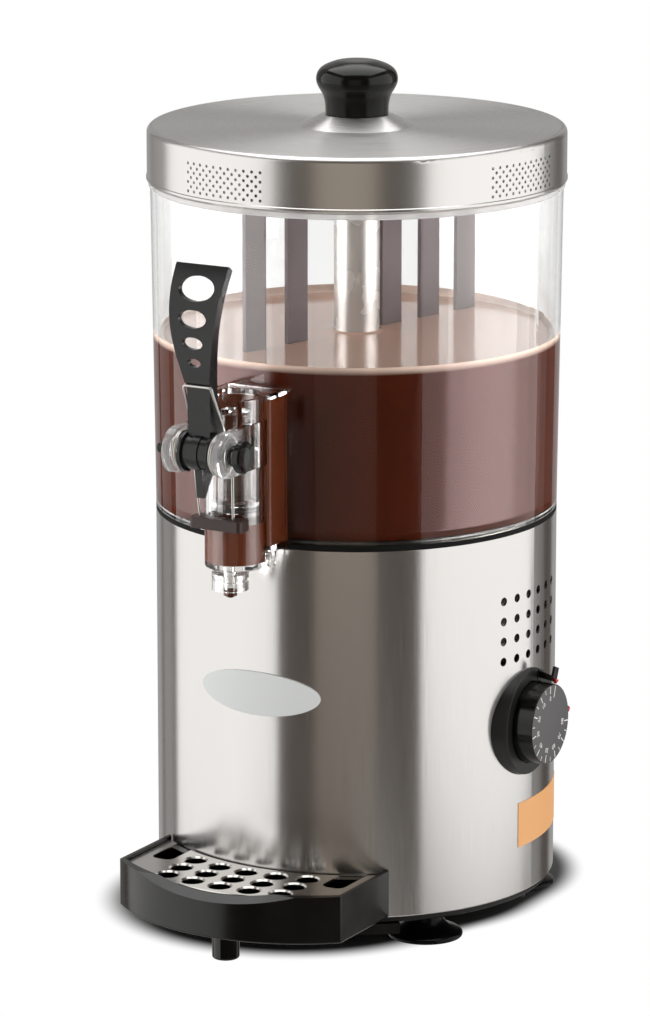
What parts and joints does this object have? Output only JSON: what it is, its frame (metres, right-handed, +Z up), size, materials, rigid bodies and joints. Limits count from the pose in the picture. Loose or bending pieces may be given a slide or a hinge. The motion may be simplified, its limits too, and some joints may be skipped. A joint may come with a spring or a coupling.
{
  "type": "hot chocolate dispenser",
  "caption": "Counter-top hot chocolate dispenser: clear lidded bowl with a stirrer and spring-return tap on a round steel water-bath base with a temperature dial and drip tray.",
  "frame": {"origin": "on the counter, on the axis of the round casing", "axes": "+Z up, -Y to the front where the tap and drip tray are, +X to the side of the temperature dial"},
  "size_m": [0.2381, 0.3026, 0.4664],
  "materials": {
    "brushed_steel": "vertical brushed grain",
    "lid_steel": "spun brushed grain",
    "plain_steel": "satin",
    "zinc_steel": "plated",
    "pan_plastic": "matt",
    "black_rubber": "satin",
    "black_plastic": "satin",
    "bezel_plastic": "satin",
    "lever_plastic": "satin",
    "stirrer_plastic": "satin",
    "knob_plastic": "polished",
    "clear_plastic": "polished clear",
    "seal_silicone": "translucent",
    "bar_plastic": "satin",
    "red_plastic": "satin",
    "badge_white": "satin",
    "label_orange": "printed film",
    "cast_aluminium": "as cast",
    "bush_bronze": "machined",
    "gear_nylon": "moulded",
    "motor_black": "satin",
    "wire_brown": "insulated"
  },
  "bodies": {
    "base": {"casing_shell": "brushed_steel", "base_pan": "pan_plastic", "suction_feet": "black_rubber", "foot_studs": "zinc_steel", "foot_nuts": "zinc_steel", "m4_screws": "zinc_steel", "clinch_nuts": "zinc_steel", "tray_bracket": "black_plastic", "water_tank": "plain_steel", "guide_pipe": "plain_steel", "shaft_bushes": "bush_bronze", "heating_element": "plain_steel", "element_nuts": "bush_bronze", "bulb_pocket": "plain_steel", "thermostat": "black_plastic", "thermostat_bulb": "bush_bronze", "safety_cutout": "cast_aluminium", "motor_bridge": "plain_steel", "bridge_screws": "zinc_steel", "gearbox_housing": "cast_aluminium", "gearbox_cover": "cast_aluminium", "gearbox_screws": "zinc_steel", "gear_bush": "bush_bronze", "motor_can": "motor_black", "terminal_block": "gear_nylon", "cable_gland": "black_plastic", "gland_nut": "black_plastic", "wiring": "wire_brown", "dial_bezel": "bezel_plastic", "dial_pointer": "black_plastic", "index_marks": "red_plastic", "thermostat_screws": "zinc_steel", "badge_plate": "badge_white", "side_label": "label_orange", "bowl_gasket": "black_rubber"},
    "drive": {"drive_shaft": "plain_steel", "output_gear": "gear_nylon"},
    "rotor": {"motor_rotor": "plain_steel", "motor_pinion": "bush_bronze"},
    "dial": {"control_knob": "black_plastic", "thermostat_spindle": "plain_steel"},
    "drip_tray": {"drip_tray": "black_plastic", "tray_foot": "black_rubber"},
    "drip_grate": {"drip_grate": "plain_steel"},
    "bowl": {"bowl": "clear_plastic", "vessel_dish": "plain_steel", "vessel_seal": "seal_silicone", "centre_tube": "plain_steel", "tap_body": "clear_plastic", "spring_bar": "bar_plastic", "pivot_pin": "black_plastic", "torsion_spring": "plain_steel"},
    "lever": {"tap_lever": "lever_plastic"},
    "plunger": {"plunger": "clear_plastic", "plunger_ring": "black_rubber", "plunger_seal": "seal_silicone"},
    "lid": {"lid": "lid_steel", "lid_knob": "knob_plastic", "knob_screw": "zinc_steel"},
    "agitator": {"agitator": "stirrer_plastic"}
  },
  "joints": [
    {"name": "bowl_lift", "type": "slide", "parent": "base", "child": "bowl", "axis": [0, 0, 1], "range_m": [0, 0.22]},
    {"name": "lid_lift", "type": "slide", "parent": "bowl", "child": "lid", "axis": [0, 0, 1], "range_m": [0, 0.12]},
    {"name": "agitator_spin", "type": "hinge", "parent": "bowl", "child": "agitator", "pos_m": [0, 0, 0.41], "axis": [0, 0, 1], "continuous": true},
    {"name": "drive_spin", "type": "hinge", "parent": "base", "child": "drive", "pos_m": [0, 0, 0.09], "axis": [0, 0, 1], "continuous": true},
    {"name": "rotor_spin", "type": "hinge", "parent": "base", "child": "rotor", "pos_m": [0, 0.036, 0.09], "axis": [0, 0, 1], "continuous": true},
    {"name": "lever_pull", "type": "hinge", "parent": "bowl", "child": "lever", "pos_m": [0, -0.165, 0.282], "axis": [1, 0, 0], "range_deg": [0, 25], "stiffness_Nm_per_rad": 0.35, "springref_deg": -34.38, "deforming": ["torsion_spring"]},
    {"name": "plunger_lift", "type": "slide", "parent": "bowl", "child": "plunger", "axis": [0, 0, 1], "range_m": [0, 0.0148]},
    {"name": "dial_turn", "type": "hinge", "parent": "base", "child": "dial", "pos_m": [0.11, -0.006, 0.1133], "axis": [-1, 0, 0], "range_deg": [0, 280]},
    {"name": "tray_pull", "type": "slide", "parent": "base", "child": "drip_tray", "axis": [0, -1, 0], "range_m": [0, 0.08]},
    {"name": "grate_lift", "type": "slide", "parent": "drip_tray", "child": "drip_grate", "axis": [0, 0, 1], "range_m": [0, 0.06]}
  ],
  "couplings": [
    {"joint": "drive_spin", "follows": "agitator_spin", "ratio": 1},
    {"joint": "rotor_spin", "follows": "agitator_spin", "ratio": -5},
    {"joint": "plunger_lift", "follows": "lever_pull", "m_per_rad": 0.0336}
  ]
}
